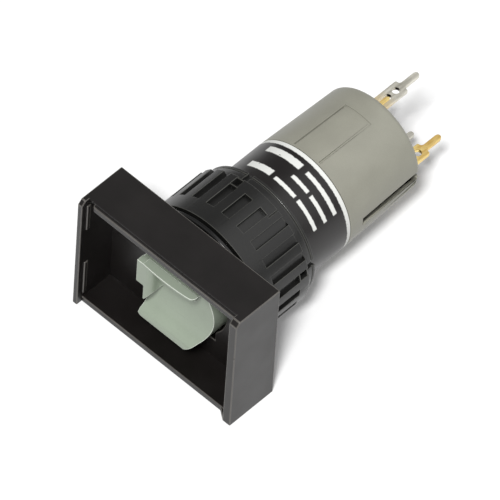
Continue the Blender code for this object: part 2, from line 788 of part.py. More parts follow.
def make_housing(material):
    start = SLEEVE_END + SEAT_GAP
    spigot = SLEEVE_BORE - RUNNING_GAP
    rear = HOUSING_REAR_RADIUS
    corner = arc(rear - HOUSING_EDGE, HOUSING_END - HOUSING_EDGE, HOUSING_EDGE, 0, 90, 4)
    profile = [
        (HOUSING_SPIGOT_BORE, HOUSING_SPIGOT_START), (spigot, HOUSING_SPIGOT_START), (spigot, start),
        (HOUSING_FRONT_RADIUS, start), *corner, (HOUSING_BORE, HOUSING_END),
        (HOUSING_BORE, start + HOUSING_SPIGOT_TAPER), (HOUSING_SPIGOT_BORE, start),
    ]
    item = turned("switch_housing", profile, material)
    boss, pivot_hole = pivot_boss()
    half_slot = KEY_SLOT_WIDTH / 2
    key_slot = block("key_slot", (HOUSING_BORE - 1, HOUSING_FRONT_RADIUS + 1),
                     (KEY_SLOT_START, HOUSING_END + 1), (-half_slot, half_slot))
    add(item, boss)
    cut(item, pivot_hole, key_slot, *tongue_cutters())
    return shade(item)


# Terminals and their base
def terminal_outline(rail_start):
    """A flat terminal from its inner rail to its pin, as (x, y) points about its own centre line."""
    half = TERMINAL_WIDTH / 2
    half_pin = TERMINAL_PIN_WIDTH / 2
    shoulder = HOUSING_END + TERMINAL_REACH
    tip = shoulder + TERMINAL_PIN_LENGTH
    right = [
        (half, rail_start), (half, shoulder - 0.15), (half - 0.15, shoulder),
        (half_pin + TERMINAL_SHOULDER / 2, shoulder + 0.1), (half_pin, shoulder + TERMINAL_SHOULDER),
        (half_pin, tip - 0.3), (half_pin - 0.2, tip),
    ]
    left = [(-x, y) for x, y in reversed(right)]
    return right + left


def make_terminal(name, x, z, rail_start, material):
    outline = [(x + a, b) for a, b in terminal_outline(rail_start)]
    half = TERMINAL_THICKNESS / 2
    item = extruded(name, outline, "Z", z - half, z + half, material, (x, HOUSING_END, z))
    shoulder = HOUSING_END + TERMINAL_REACH
    hole_y = shoulder - TERMINAL_HOLE_INSET
    round_hole = arc(x, hole_y, TERMINAL_HOLE, 0, 330, 11)
    slot_end = shoulder - TERMINAL_SLOT_INSET - TERMINAL_SLOT_WIDTH / 2
    slot_start = slot_end - TERMINAL_SLOT_LENGTH
    radius = TERMINAL_SLOT_WIDTH / 2
    slot = arc(x, slot_end, radius, 0, 180, 6) + arc(x, slot_start, radius, 180, 360, 6)
    cut(item, extruded("terminal_hole", round_hole, "Z", z - 1, z + 1),
        extruded("terminal_slot", slot, "Z", z - 1, z + 1))
    return shade(item)


def terminal_places():
    """Each terminal's name, its x and z, and where its inner rail starts."""
    return (
        ("lamp_terminal_upper", 0.0, UPPER_TERMINAL_HEIGHT, LAMP_RAIL_START),
        ("lamp_terminal_lower", 0.0, LOWER_TERMINAL_HEIGHT, LAMP_RAIL_START),
        ("contact_terminal_right", CONTACT_OFFSET, CONTACT_HEIGHT, CONTACT_RAIL_START),
        ("contact_terminal_left", -CONTACT_OFFSET, CONTACT_HEIGHT, CONTACT_RAIL_START),
    )


def make_terminal_base(material):
    """The rear disc, with a slot for each terminal and a post for the carriage spring."""
    radius = HOUSING_BORE - SEAT_GAP
    end = BASE_START + BASE_THICKNESS
    edge = 0.2
    item = turned("terminal_base", [
        (0, BASE_START), (radius, BASE_START), (radius, end - edge), (radius - edge, end), (0, end),
    ], material, INNER_ROUND)
    post = turned("base_post", [
        (0, BASE_START - BASE_POST_LENGTH), (BASE_POST_RADIUS, BASE_START - BASE_POST_LENGTH),
        (BASE_POST_RADIUS, BASE_START + 0.5), (0, BASE_START + 0.5),
    ], segments=SMALL_ROUND)
    add(item, post)
    half_width = TERMINAL_WIDTH / 2 + SLOT_GAP
    half_height = TERMINAL_THICKNESS / 2 + SLOT_GAP
    for name, x, z, rail_start in terminal_places():
        levels = (z - half_height, z + half_height)
        if name == "lamp_terminal_upper":
            levels = (z - half_height, radius + 1)
        cut(item, block("terminal_way", (x - half_width, x + half_width), (BASE_START - 1, end + 1), levels))
    return shade(item)


# Contact carriage, its spring and the bridge that joins the two contact rails
def bridge_outline():
    """The bridge's section: a raised middle between two lower wings, as (x, z) points."""
    low = CONTACT_HEIGHT + TERMINAL_THICKNESS / 2 + SLOT_GAP
    high = low + BRIDGE_CROWN
    top = BRIDGE_THICKNESS
    right = [(BRIDGE_BEND, low), (BRIDGE_HALF_SPAN, low)]
    upper = [(BRIDGE_HALF_SPAN, low + top), (BRIDGE_BEND, low + top), (BRIDGE_BEND - 0.3, high + top)]
    left = [(-x, z) for x, z in reversed(upper)] + [(-x, z) for x, z in reversed(right)]
    return right + upper + left + [(-BRIDGE_BEND + 0.3, high), (BRIDGE_BEND - 0.3, high)]


def make_bridge(material):
    return extruded("contact_bridge", bridge_outline(), "Y", BRIDGE_START, BRIDGE_START + BRIDGE_WIDTH,
                    material)


def make_carriage(material):
    half = CARRIAGE_WIDTH / 2
    end = CARRIAGE_START + CARRIAGE_LENGTH
    item = block("contact_carriage", (-half, half), (CARRIAGE_START, end), (CARRIAGE_BOTTOM, CARRIAGE_TOP),
                 material)
    bore = turned("carriage_bore", [
        (0, CARRIAGE_BORE_START), (CARRIAGE_BORE, CARRIAGE_BORE_START), (CARRIAGE_BORE, end + 1), (0, end + 1),
    ], segments=SMALL_ROUND)
    low = CONTACT_HEIGHT + TERMINAL_THICKNESS / 2 + SLOT_GAP - RUNNING_GAP
    high = low + BRIDGE_CROWN + BRIDGE_THICKNESS + 2 * RUNNING_GAP
    way = block("bridge_way", (-half - 1, half + 1),
                (BRIDGE_START - RUNNING_GAP, BRIDGE_START + BRIDGE_WIDTH + RUNNING_GAP), (low, high))
    cut(item, bore, way)
    return shade(item)


def make_carriage_spring(material):
    start = CARRIAGE_BORE_START + SEAT_GAP
    end = BASE_START - SEAT_GAP
    return shade(coil("carriage_spring", CARRIAGE_SPRING_RADIUS, CARRIAGE_SPRING_WIRE,
                      CARRIAGE_SPRING_TURNS, start, end, material, SMALL_SPRING_STEPS))


# Lamp socket and leads
def make_lamp_socket(material):
    half = LEAD_WIDTH / 2 + SLOT_GAP
    item = turned("lamp_socket", [
        (SOCKET_BORE, SOCKET_START), (SOCKET_RADIUS, SOCKET_START), (SOCKET_RADIUS, SOCKET_END),
        (0, SOCKET_END), (0, SOCKET_END - SOCKET_FLOOR), (SOCKET_BORE, SOCKET_END - SOCKET_FLOOR),
    ], material, INNER_ROUND)
    for side in (1, -1):
        levels = sorted((side * (SOCKET_BORE - 1), side * (SOCKET_RADIUS + 1)))
        cut(item, block("lead_slot", (-half, half), (LEAD_HOOK_START - SLOT_GAP,
                                                    LEAD_HOOK_START + LEAD_THICKNESS + SLOT_GAP), levels))
    return shade(item)


def make_lead(name, side, terminal_height, material):
    """A strip from the lamp socket, back along the slider's groove, to a bump that wipes the lamp terminal."""
    half = LEAD_THICKNESS / 2
    wipe = abs(terminal_height) - TERMINAL_THICKNESS / 2 - PIN_CLEARANCE - half
    hook = LEAD_HEIGHT - LEAD_HOOK_DEPTH
    path = [
        (LEAD_HOOK_START + half, hook), (LEAD_HOOK_START + half, LEAD_HEIGHT), (LEAD_RISE_START, LEAD_HEIGHT),
        (LEAD_BUMP - 0.5, wipe), (LEAD_BUMP + 0.2, wipe), (LEAD_END, wipe - 0.35),
    ]
    outer = [(path[0][0] - half, path[0][1]), (path[0][0] - half, LEAD_HEIGHT + half)]
    outer += [(y, z + half) for y, z in path[2:]]
    inner = [(y, z - half) for y, z in reversed(path[2:])]
    inner += [(path[0][0] + half, LEAD_HEIGHT - half), (path[0][0] + half, path[0][1])]
    outline = [(y, side * z) for y, z in outer + inner]
    return extruded(name, outline, "X", -LEAD_WIDTH / 2, LEAD_WIDTH / 2, material)


def build():
    clear_scene()
    black = finish("black_moulding", 0.02, 0.02, 0.02, 0.45)
    nut_black = finish("nut_moulding", 0.03, 0.03, 0.03, 0.4)
    rubber = finish("gasket_rubber", 0.015, 0.015, 0.015, 0.6)
    sage = finish("pale_green_plastic", 0.4, 0.47, 0.36, 0.35)
    dark = finish("dark_slider_plastic", 0.06, 0.06, 0.06, 0.5)
    grey = finish("grey_beige_plastic", 0.3, 0.3, 0.24, 0.6)
    base = finish("dark_base_plastic", 0.05, 0.05, 0.05, 0.6)
    ivory = finish("socket_plastic", 0.6, 0.58, 0.5, 0.5)
    steel = finish("spring_steel", 0.55, 0.55, 0.55, 0.3, 1.0)
    tinned = finish("tinned_brass", 0.6, 0.6, 0.58, 0.35, 1.0)
    gold = finish("gold_plated_brass", 0.75, 0.55, 0.2, 0.3, 1.0)
    make_bezel(black)
    make_gasket(rubber)
    make_nut(nut_black)
    make_carrier(sage)
    make_slider(dark)
    make_latch_pin(steel)
    make_latch_leaf(steel)
    make_return_spring(steel)
    make_spring_seat(dark)
    make_housing(grey)
    make_terminal_base(base)
    make_carriage(ivory)
    make_bridge(gold)
    make_carriage_spring(steel)
    make_lamp_socket(ivory)
    make_lead("lamp_lead_upper", 1, UPPER_TERMINAL_HEIGHT, gold)
    make_lead("lamp_lead_lower", -1, LOWER_TERMINAL_HEIGHT, gold)
    for name, x, z, rail_start in terminal_places():
        material = tinned if name.startswith("lamp") else gold
        make_terminal(name, x, z, rail_start, material)


build()
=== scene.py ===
"""Looks of a self-locking push switch for a round panel hole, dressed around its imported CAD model.

The switch lies along Y, its rectangular front towards -Y. Lengths are in millimetres where MM is applied.
"""
import math

import bmesh
import bpy
from mathutils import Matrix, Vector


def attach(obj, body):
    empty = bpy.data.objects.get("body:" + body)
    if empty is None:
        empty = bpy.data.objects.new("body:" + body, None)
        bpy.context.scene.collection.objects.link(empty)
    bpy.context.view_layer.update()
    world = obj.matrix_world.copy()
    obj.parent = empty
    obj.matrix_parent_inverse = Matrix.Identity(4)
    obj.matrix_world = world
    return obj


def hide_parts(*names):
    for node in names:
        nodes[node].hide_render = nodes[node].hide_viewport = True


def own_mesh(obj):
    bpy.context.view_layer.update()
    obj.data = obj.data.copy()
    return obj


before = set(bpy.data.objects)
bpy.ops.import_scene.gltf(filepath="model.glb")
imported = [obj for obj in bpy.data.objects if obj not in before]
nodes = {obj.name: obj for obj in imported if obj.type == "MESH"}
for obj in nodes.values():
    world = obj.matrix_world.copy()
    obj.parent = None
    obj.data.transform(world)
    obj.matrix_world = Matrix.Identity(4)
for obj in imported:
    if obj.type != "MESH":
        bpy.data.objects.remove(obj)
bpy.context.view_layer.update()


# Camera
# A long lens above the front right corner of the table, as the catalogue picture was taken.
# It has no shift and no blur. Its place was fitted to the switch's edges and circles.
MM = 0.001
camera_data = bpy.data.cameras.new("camera")
camera_data.lens = 921.3
camera_data.sensor_width = 36.0
camera_data.clip_start = 0.1
camera_data.clip_end = 10.0
camera = bpy.data.objects.new("camera", camera_data)
bpy.context.scene.collection.objects.link(camera)
camera_right = Vector((0.72139, 0.69109, 0.04459))
camera_back = Vector((0.39905, -0.46744, 0.78883))
camera_up = camera_back.cross(camera_right)
camera_axes = Matrix((camera_right, camera_up, camera_back)).transposed().to_4x4()
camera.matrix_world = Matrix.Translation((0.56068, -0.64828, 1.10588)) @ camera_axes
bpy.context.scene.camera = camera
bpy.context.scene.view_settings.view_transform = "Standard"


# Table and surroundings
# A seamless sheet of white paper under the switch, with a lamp of its own above the camera's left
# shoulder. The paper stays white and keeps a short shadow beside the switch.
def colour(code):
    """An sRGB hex colour as linear values."""
    channels = [int(code[place:place + 2], 16) / 255 for place in (0, 2, 4)]
    linear = [c / 12.92 if c <= 0.04045 else ((c + 0.055) / 1.055) ** 2.4 for c in channels]
    return (*linear, 1.0)


def node(tree, kind, inputs=None, **settings):
    """Adds a node with its settings. An input is a value, or another node's socket to link."""
    made = tree.nodes.new(kind)
    for name, value in settings.items():
        setattr(made, name, value)
    for name, value in (inputs or {}).items():
        if isinstance(value, bpy.types.NodeSocket):
            tree.links.new(value, made.inputs[name])
        else:
            made.inputs[name].default_value = value
    return made


TABLE_LEVEL = -9.0
PAPER_SIZE = 900.0
PAPER_FIBRES = 900.0  # fibres to the metre, each about 1.1 mm long
paper = bpy.data.materials.new("white_paper_sheet")
paper.use_nodes = True
tree = paper.node_tree
tree.nodes.clear()
ray = node(tree, "ShaderNodeLightPath")
seen = node(tree, "ShaderNodeMath", {0: ray.outputs["Is Camera Ray"], 1: ray.outputs["Is Glossy Ray"]},
            operation="MAXIMUM")
fibres = node(tree, "ShaderNodeTexNoise", {"Scale": PAPER_FIBRES, "Detail": 3.0})
tone = node(tree, "ShaderNodeMapRange", {0: fibres.outputs[0], 3: 0.90, 4: 0.92})
bounced = node(tree, "ShaderNodeMapRange", {0: seen.outputs[0], 3: 0.45, 4: 1.0})
shade = node(tree, "ShaderNodeMath", {0: tone.outputs[0], 1: bounced.outputs[0]}, operation="MULTIPLY")
lift = node(tree, "ShaderNodeMath", {0: seen.outputs[0], 1: 0.12}, operation="MULTIPLY")
matte = node(tree, "ShaderNodeBsdfDiffuse", {"Color": shade.outputs[0]})
glow = node(tree, "ShaderNodeEmission", {"Color": (1.0, 1.0, 1.0, 1.0), "Strength": lift.outputs[0]})
both = node(tree, "ShaderNodeAddShader", {0: matte.outputs[0], 1: glow.outputs[0]})
node(tree, "ShaderNodeOutputMaterial", {0: both.outputs[0]})
sheet = bmesh.new()
bmesh.ops.create_grid(sheet, x_segments=1, y_segments=1, size=PAPER_SIZE * MM)
bmesh.ops.translate(sheet, vec=(0, 0, TABLE_LEVEL * MM), verts=sheet.verts)
sheet_mesh = bpy.data.meshes.new("paper_sheet")
sheet.to_mesh(sheet_mesh)
sheet.free()
sheet_mesh.materials.append(paper)
sheet_object = bpy.data.objects.new("paper_sheet", sheet_mesh)
bpy.context.scene.collection.objects.link(sheet_object)

world = bpy.data.worlds.new("white_room")
bpy.context.scene.world = world
world.use_nodes = True
tree = world.node_tree
tree.nodes.clear()
ray = node(tree, "ShaderNodeLightPath")
lit = node(tree, "ShaderNodeBackground", {"Color": (1.0, 1.0, 1.0, 1.0), "Strength": 0.30})
seen = node(tree, "ShaderNodeBackground", {"Color": (1.0, 1.0, 1.0, 1.0), "Strength": 1.0})
room = node(tree, "ShaderNodeMixShader",
            {0: ray.outputs["Is Camera Ray"], 1: lit.outputs[0], 2: seen.outputs[0]})
node(tree, "ShaderNodeOutputWorld", {0: room.outputs[0]})


# Lamps
# One large soft box above the right side of the table, which draws the pale band along the round
# bodies, and a small sun above the camera's left shoulder. The paper has its own, and a white card
# overhead, behind the switch, shows in the bright metal.
SWITCH_MIDDLE = Vector((0, 10 * MM, 0))
LEFT_SHOULDER = (0.272, -0.481, 0.845)
only_paper = bpy.data.collections.new("only_paper")
only_paper.objects.link(sheet_object)
all_but_paper = bpy.data.collections.new("all_but_paper")
all_but_paper.objects.link(sheet_object)
all_but_paper.collection_objects[0].light_linking.link_state = "EXCLUDE"


def aimed(name, kind, direction, distance, receivers):
    """A lamp that faces the switch from a direction, its distance in metres, and what it lights."""
    data = bpy.data.lights.new(name, kind)
    lamp = bpy.data.objects.new(name, data)
    towards = Vector(direction).normalized()
    lamp.location = SWITCH_MIDDLE + towards * distance
    lamp.rotation_mode = "QUATERNION"
    lamp.rotation_quaternion = (-towards).to_track_quat("-Z", "Y")
    lamp.light_linking.receiver_collection = receivers
    bpy.context.scene.collection.objects.link(lamp)
    return data


key = aimed("key_soft_box", "AREA", (0.487, 0.467, 0.753), 0.6, all_but_paper)
key.shape = "SQUARE"
key.size = 0.72
key.energy = 1.3
front = aimed("front_lamp", "SUN", LEFT_SHOULDER, 0.8, all_but_paper)
front.angle = math.radians(12)
front.energy = 2.6
only_metal = bpy.data.collections.new("only_metal")
card = aimed("white_card", "AREA", (-0.40, 0.47, 0.79), 0.5, only_metal)
card.shape = "SQUARE"
card.size = 0.35
card.energy = 0.22
sun = aimed("paper_lamp", "SUN", LEFT_SHOULDER, 0.8, only_paper)
sun.angle = math.radians(10)
sun.energy = 3.0


# Bezel and sleeve
# One black thermoplastic moulding: a rectangular box open at the front and a round sleeve behind it.
# Its walls have small moulded edge radii. Their edges are painted a little paler, for handling wear and as a
# painted edge highlight.
def placed(name, shape, *materials):
    """A bmesh in millimetres as an object in metres at the origin, with its materials."""
    bmesh.ops.scale(shape, vec=(MM, MM, MM), verts=shape.verts)
    bmesh.ops.recalc_face_normals(shape, faces=shape.faces)
    mesh = bpy.data.meshes.new(name)
    shape.to_mesh(mesh)
    shape.free()
    for material in materials:
        mesh.materials.append(material)
    item = bpy.data.objects.new(name, mesh)
    bpy.context.scene.collection.objects.link(item)
    return item


def turned(name, profile, segments=128):
    """A closed outline of (radius, y) points turned about the Y axis."""
    shape = bmesh.new()
    rings = []
    for radius, y in profile:
        if radius == 0:
            rings.append([shape.verts.new((0, y, 0))] * segments)
            continue
        angles = [2 * math.pi * step / segments for step in range(segments)]
        rings.append([shape.verts.new((radius * math.cos(a), y, radius * math.sin(a))) for a in angles])
    for index, ring in enumerate(rings):
        following = rings[(index + 1) % len(rings)]
        for step in range(segments):
            after = (step + 1) % segments
            corners = list(dict.fromkeys([ring[step], ring[after], following[after], following[step]]))
            if len(corners) > 2:
                shape.faces.new(corners)
    return placed(name, shape)


def pushed(name, outline, axis, low, high):
    """A closed outline of two coordinates, in X, Y, Z order, pushed along the third."""
    shape = bmesh.new()
    place = {
        "X": lambda a, b, depth: (depth, a, b),
        "Y": lambda a, b, depth: (a, depth, b),
        "Z": lambda a, b, depth: (a, b, depth),
    }[axis]
    front = [shape.verts.new(place(a, b, low)) for a, b in outline]
    back = [shape.verts.new(place(a, b, high)) for a, b in outline]
    shape.faces.new(front)
    shape.faces.new(list(reversed(back)))
    for index in range(len(outline)):
        after = (index + 1) % len(outline)
        shape.faces.new([front[index], back[index], back[after], front[after]])
    return placed(name, shape)


def block(name, x_range, y_range, z_range):
    """A block between two limits on each axis."""
    (x0, x1), (y0, y1) = x_range, y_range
    return pushed(name, [(x0, y0), (x1, y0), (x1, y1), (x0, y1)], "Z", *z_range)


def arc(centre_a, centre_b, radius, start, end, steps):
    """Points on a circle between two angles in degrees, both ends included."""
    angles = [math.radians(start + (end - start) * step / steps) for step in range(steps + 1)]
    return [(centre_a + radius * math.cos(a), centre_b + radius * math.sin(a)) for a in angles]


def settled(item):
    """Makes the result of an object's modifiers its plain mesh."""
    depsgraph = bpy.context.evaluated_depsgraph_get()
    mesh = bpy.data.meshes.new_from_object(item.evaluated_get(depsgraph))
    mesh.name = item.name
    item.modifiers.clear()
    item.data = mesh
    return item


def shaped(item, steps):
    """Cuts and joins other solids, given as (operation, solid) pairs, which are then removed."""
    for operation, other in steps:
        change = item.modifiers.new(operation, "BOOLEAN")
        change.operation = operation
        change.solver = "EXACT"
        change.object = other
    settled(item)
    for operation, other in steps:
        bpy.data.objects.remove(other, do_unlink=True)
    return item


def eased(item, width, materials, segments=3, angle=30, weld=0.005):
    """Rounds every outer edge by a width in millimetres. The rounding takes the second material, where one
    is given, which paints a paler highlight along the edge.

    Corners closer than the weld distance become one, so that no sliver is rounded.
    """
    item.data.materials.clear()
    for material in materials:
        item.data.materials.append(material)
    shape = bmesh.new()
    shape.from_mesh(item.data)
    bmesh.ops.remove_doubles(shape, verts=shape.verts, dist=weld * MM)
    bmesh.ops.dissolve_limit(shape, angle_limit=math.radians(0.5), verts=shape.verts, edges=shape.edges)
    weight = shape.edges.layers.float.new("bevel_weight_edge")
    for edge in shape.edges:
        if edge.is_manifold and edge.calc_face_angle_signed(0) > math.radians(angle):
            edge[weight] = 1.0
    shape.to_mesh(item.data)
    shape.free()
    bevel = item.modifiers.new("edge", "BEVEL")
    bevel.width = width * MM
    bevel.segments = segments
    bevel.limit_method = "WEIGHT"
    bevel.use_clamp_overlap = False
    # The rounding gets the paler material, a painted highlight along each edge
    bevel.material = min(1, len(materials) - 1)
    settled(item)
    item.data.shade_smooth()
    item.data.set_sharp_from_angle(angle=math.radians(40))
    even = item.modifiers.new("even_shading", "WEIGHTED_NORMAL")
    even.keep_sharp = True
    return settled(item)


def moulding(name, base, edge, roughness, grain, speckle):
    """A moulded plastic and its paler edge, as two materials with one grain. The paler edge is a painted
    edge highlight, and where a part is handled it also stands for wear.

    grain is the size in millimetres of the mould's fine texture, and speckle how far the tone wanders.
    """
    made = []
    # The second material paints the edges paler: a painted highlight, and on handled parts wear too
    for suffix, code, gloss in (("", base, roughness), ("_edge_wear_and_painted_highlight", edge, roughness * 0.8)):
        material = bpy.data.materials.new(name + suffix)
        material.use_nodes = True
        tree = material.node_tree
        shader = tree.nodes["Principled BSDF"]
        place = node(tree, "ShaderNodeTexCoord").outputs["Object"]
        fine = node(tree, "ShaderNodeTexNoise",
                    {"Vector": place, "Scale": 1000 / grain, "Detail": 4.0, "Roughness": 0.6})
        broad = node(tree, "ShaderNodeTexNoise",
                     {"Vector": place, "Scale": 1000 / (grain * 22), "Detail": 3.0})
        wander = node(tree, "ShaderNodeMix", {0: 0.6, 2: fine.outputs[0], 3: broad.outputs[0]},
                      data_type="FLOAT")
        dark = tuple(c * (1 - speckle) for c in colour(code)[:3]) + (1.0,)
        light = tuple(min(c * (1 + speckle), 1.0) for c in colour(code)[:3]) + (1.0,)
        tone = node(tree, "ShaderNodeValToRGB", {0: wander.outputs[0]})
        tone.color_ramp.elements[0].position = 0.35
        tone.color_ramp.elements[0].color = dark
        tone.color_ramp.elements[1].position = 0.65
        tone.color_ramp.elements[1].color = light
        rough = node(tree, "ShaderNodeMapRange",
                     {0: broad.outputs[0], 1: 0.3, 2: 0.7, 3: gloss * 0.88, 4: gloss * 1.12})
        bump = node(tree, "ShaderNodeBump",
                    {"Height": fine.outputs[0], "Strength": 0.12, "Distance": 0.02 * MM})
        tree.links.new(tone.outputs[0], shader.inputs["Base Color"])
        tree.links.new(rough.outputs[0], shader.inputs["Roughness"])
        tree.links.new(bump.outputs[0], shader.inputs["Normal"])
        shader.inputs["IOR"].default_value = 1.5
        made.append(material)
    return made


def fitted(item, body, slot, *replaced):
    """Ties a finished piece to its CAD body and hides the CAD nodes that it stands for. Its finish slot is
    not used.
    """
    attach(item, body)
    if replaced:
        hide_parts(*replaced)
    return item


FRONT_WIDTH = 24.0
FRONT_HEIGHT = 18.0
BEZEL_DEPTH = 6.85
LEFT_WALL = 0.65
RIGHT_WALL = 1.1
LONG_WALL = 0.8
UPPER_WALL = 1.2
WALL_FRONT = -6.05
FLOOR = -1.6
LIP_CORNER_LEVEL = 8.4
LIP_CORNER_LENGTH = 0.55
REBATE_DEPTH = 0.42
REBATE_ROOT_DEPTH = 0.3
REBATE_LENGTH = 0.3
REBATE_START = 0.6
RECESS_END = -10.5
RECESS_REACH = (-7.0, -4.4)
RECESS_LEVELS = (7.0, 8.7)
NOTCH_WIDTH = 1.1
NOTCH_DEPTH = 0.33
NOTCH_START = -7.05
GUSSET_WIDTH = 1.1
GUSSET_ROOT = 0.3
GUSSET_ROOT_FRONT = -6.55
GUSSET_INSET = 0.05
SNAP_RIB_DEPTH = 0.5
SNAP_RIBS = (
    (-1, LEFT_WALL, 0.15, ((-7.5, -2.1), (3.7, 7.9))),
    (1, RIGHT_WALL, 0.4, ((-7.4, -2.4), (2.4, 7.4))),
)
KEYWAY_RADIUS = 6.0
KEYWAY_HALF_WIDTH = 4.5
KEYWAY_LEVELS = (-5.33, 4.83)
SPIGOT_RADIUS = 7.9
SPIGOT_END = 1.0
THREAD_RADIUS = 7.55
THREAD_END = 9.6
SLEEVE_RADIUS = 7.3
SLEEVE_BORE = 6.5
SLEEVE_START = 9.85
SLEEVE_END = 16.7
OUTSIDE = 12.0  # cutters end here, clear of the switch

# Moulded polyamide, deep black with a satin sheen. Its rims are painted grey, for handling wear and as a
# painted highlight.
black_plastic = moulding("black_moulded_polyamide", base="161312", edge="5c5955", roughness=0.36, grain=0.16,
                         speckle=0.18)

left, right = -FRONT_WIDTH / 2, FRONT_WIDTH / 2
low, high = -FRONT_HEIGHT / 2, FRONT_HEIGHT / 2
inner_left, inner_right = left + LEFT_WALL, right - RIGHT_WALL
bezel = block("bezel_and_sleeve", (left, right), (-BEZEL_DEPTH, 0), (low, high))
cavity = pushed("cavity", [
    (FLOOR, low + LONG_WALL), (FLOOR, high - UPPER_WALL), (WALL_FRONT, high - UPPER_WALL),
    (WALL_FRONT, OUTSIDE), (-OUTSIDE, OUTSIDE), (-OUTSIDE, -OUTSIDE), (WALL_FRONT, -OUTSIDE),
    (WALL_FRONT, low + LONG_WALL),
], "X", inner_left, inner_right)
corner_back = -BEZEL_DEPTH + LIP_CORNER_LENGTH
lip_corner = pushed("lip_corner", [
    (-OUTSIDE, LIP_CORNER_LEVEL), (-BEZEL_DEPTH, LIP_CORNER_LEVEL), (corner_back, high),
    (corner_back, OUTSIDE), (-OUTSIDE, OUTSIDE),
], "X", left - 1, right + 1)
rebate_back = WALL_FRONT + REBATE_LENGTH
upper_edge = pushed("upper_edge", [
    (-OUTSIDE, high - REBATE_DEPTH), (WALL_FRONT, high - REBATE_DEPTH),
    (rebate_back, high - REBATE_ROOT_DEPTH), (rebate_back, OUTSIDE), (-OUTSIDE, OUTSIDE),
], "X", inner_left + REBATE_START, inner_right)
corner_recess = block("corner_recess", (inner_left, RECESS_END), RECESS_REACH, RECESS_LEVELS)
notch_right = inner_left + NOTCH_WIDTH
notch = pushed("notch", [
    (inner_left, NOTCH_START), (notch_right, NOTCH_START), (notch_right, WALL_FRONT),
    (inner_left, WALL_FRONT + NOTCH_DEPTH),
], "Z", high - 2, OUTSIDE)
sleeve = turned("sleeve", [
    (SLEEVE_BORE, FLOOR / 2), (SPIGOT_RADIUS, FLOOR / 2), (SPIGOT_RADIUS, SPIGOT_END),
    (THREAD_RADIUS, SPIGOT_END), (THREAD_RADIUS, THREAD_END), (SLEEVE_RADIUS, SLEEVE_START),
    (SLEEVE_RADIUS, SLEEVE_END), (SLEEVE_BORE, SLEEVE_END),
])
gusset_left, gusset_right = inner_right - GUSSET_WIDTH, inner_right + GUSSET_ROOT
gusset = pushed("gusset", [
    (gusset_left, WALL_FRONT), (inner_right, -BEZEL_DEPTH), (gusset_right, GUSSET_ROOT_FRONT),
    (gusset_right, WALL_FRONT + GUSSET_ROOT), (gusset_left, WALL_FRONT + GUSSET_ROOT),
], "Z", low + GUSSET_INSET, low + LONG_WALL - GUSSET_INSET)
keyway_round = turned("keyway_round", [(0, -3), (KEYWAY_RADIUS, -3), (KEYWAY_RADIUS, 1), (0, 1)], 144)
keyway_square = block("keyway_square", (-KEYWAY_HALF_WIDTH, KEYWAY_HALF_WIDTH), (-3.1, 0.5), KEYWAY_LEVELS)
steps = [
    ("DIFFERENCE", cavity), ("DIFFERENCE", lip_corner), ("DIFFERENCE", notch), ("DIFFERENCE", upper_edge),
    ("DIFFERENCE", corner_recess), ("UNION", sleeve), ("UNION", gusset),
]
for side, wall, reach, levels in SNAP_RIBS:
    inner = side * (FRONT_WIDTH / 2 - wall)
    root = side * (FRONT_WIDTH / 2 - wall / 2)
    rib_end = WALL_FRONT + SNAP_RIB_DEPTH
    for level in levels:
        rib = pushed("snap_rib", [
            (root, WALL_FRONT), (inner - side * reach, WALL_FRONT), (inner - side * reach, rib_end),
            (inner, rib_end + reach), (root, rib_end + reach),
        ], "Z", *level)
        steps.append(("UNION", rib))
steps += [("DIFFERENCE", keyway_round), ("DIFFERENCE", keyway_square)]
shaped(bezel, steps)
eased(bezel, 0.12, black_plastic)


def within(tree, value, low_edge, high_edge, soft):
    """One inside a range of a value and zero outside, with edges that take a small width to fade."""
    rise = node(tree, "ShaderNodeMapRange", {0: value, 1: low_edge - soft, 2: low_edge + soft})
    fall = node(tree, "ShaderNodeMapRange",
                {0: value, 1: high_edge - soft, 2: high_edge + soft, 3: 1.0, 4: 0.0})
    both = node(tree, "ShaderNodeMath", {0: rise.outputs[0], 1: fall.outputs[0]}, operation="MULTIPLY")
    return both.outputs[0]


# Plain printed bars in three rows, each as (y from, y to, angle from, angle to)
PRINTED_BARS = (
    (11.65, 12.15, 31.0, 62.0),
    (11.65, 12.15, 66.0, 91.0),
    (11.7, 12.6, 96.0, 124.0),
    (13.25, 13.75, 31.0, 58.0),
    (13.25, 13.75, 62.0, 82.0),
    (14.75, 15.3, 31.0, 76.0),
    (14.6, 15.5, 83.0, 124.0),
)
PRINTED_RING = (16.12, 17.5)
INK_FRAY = 0.09


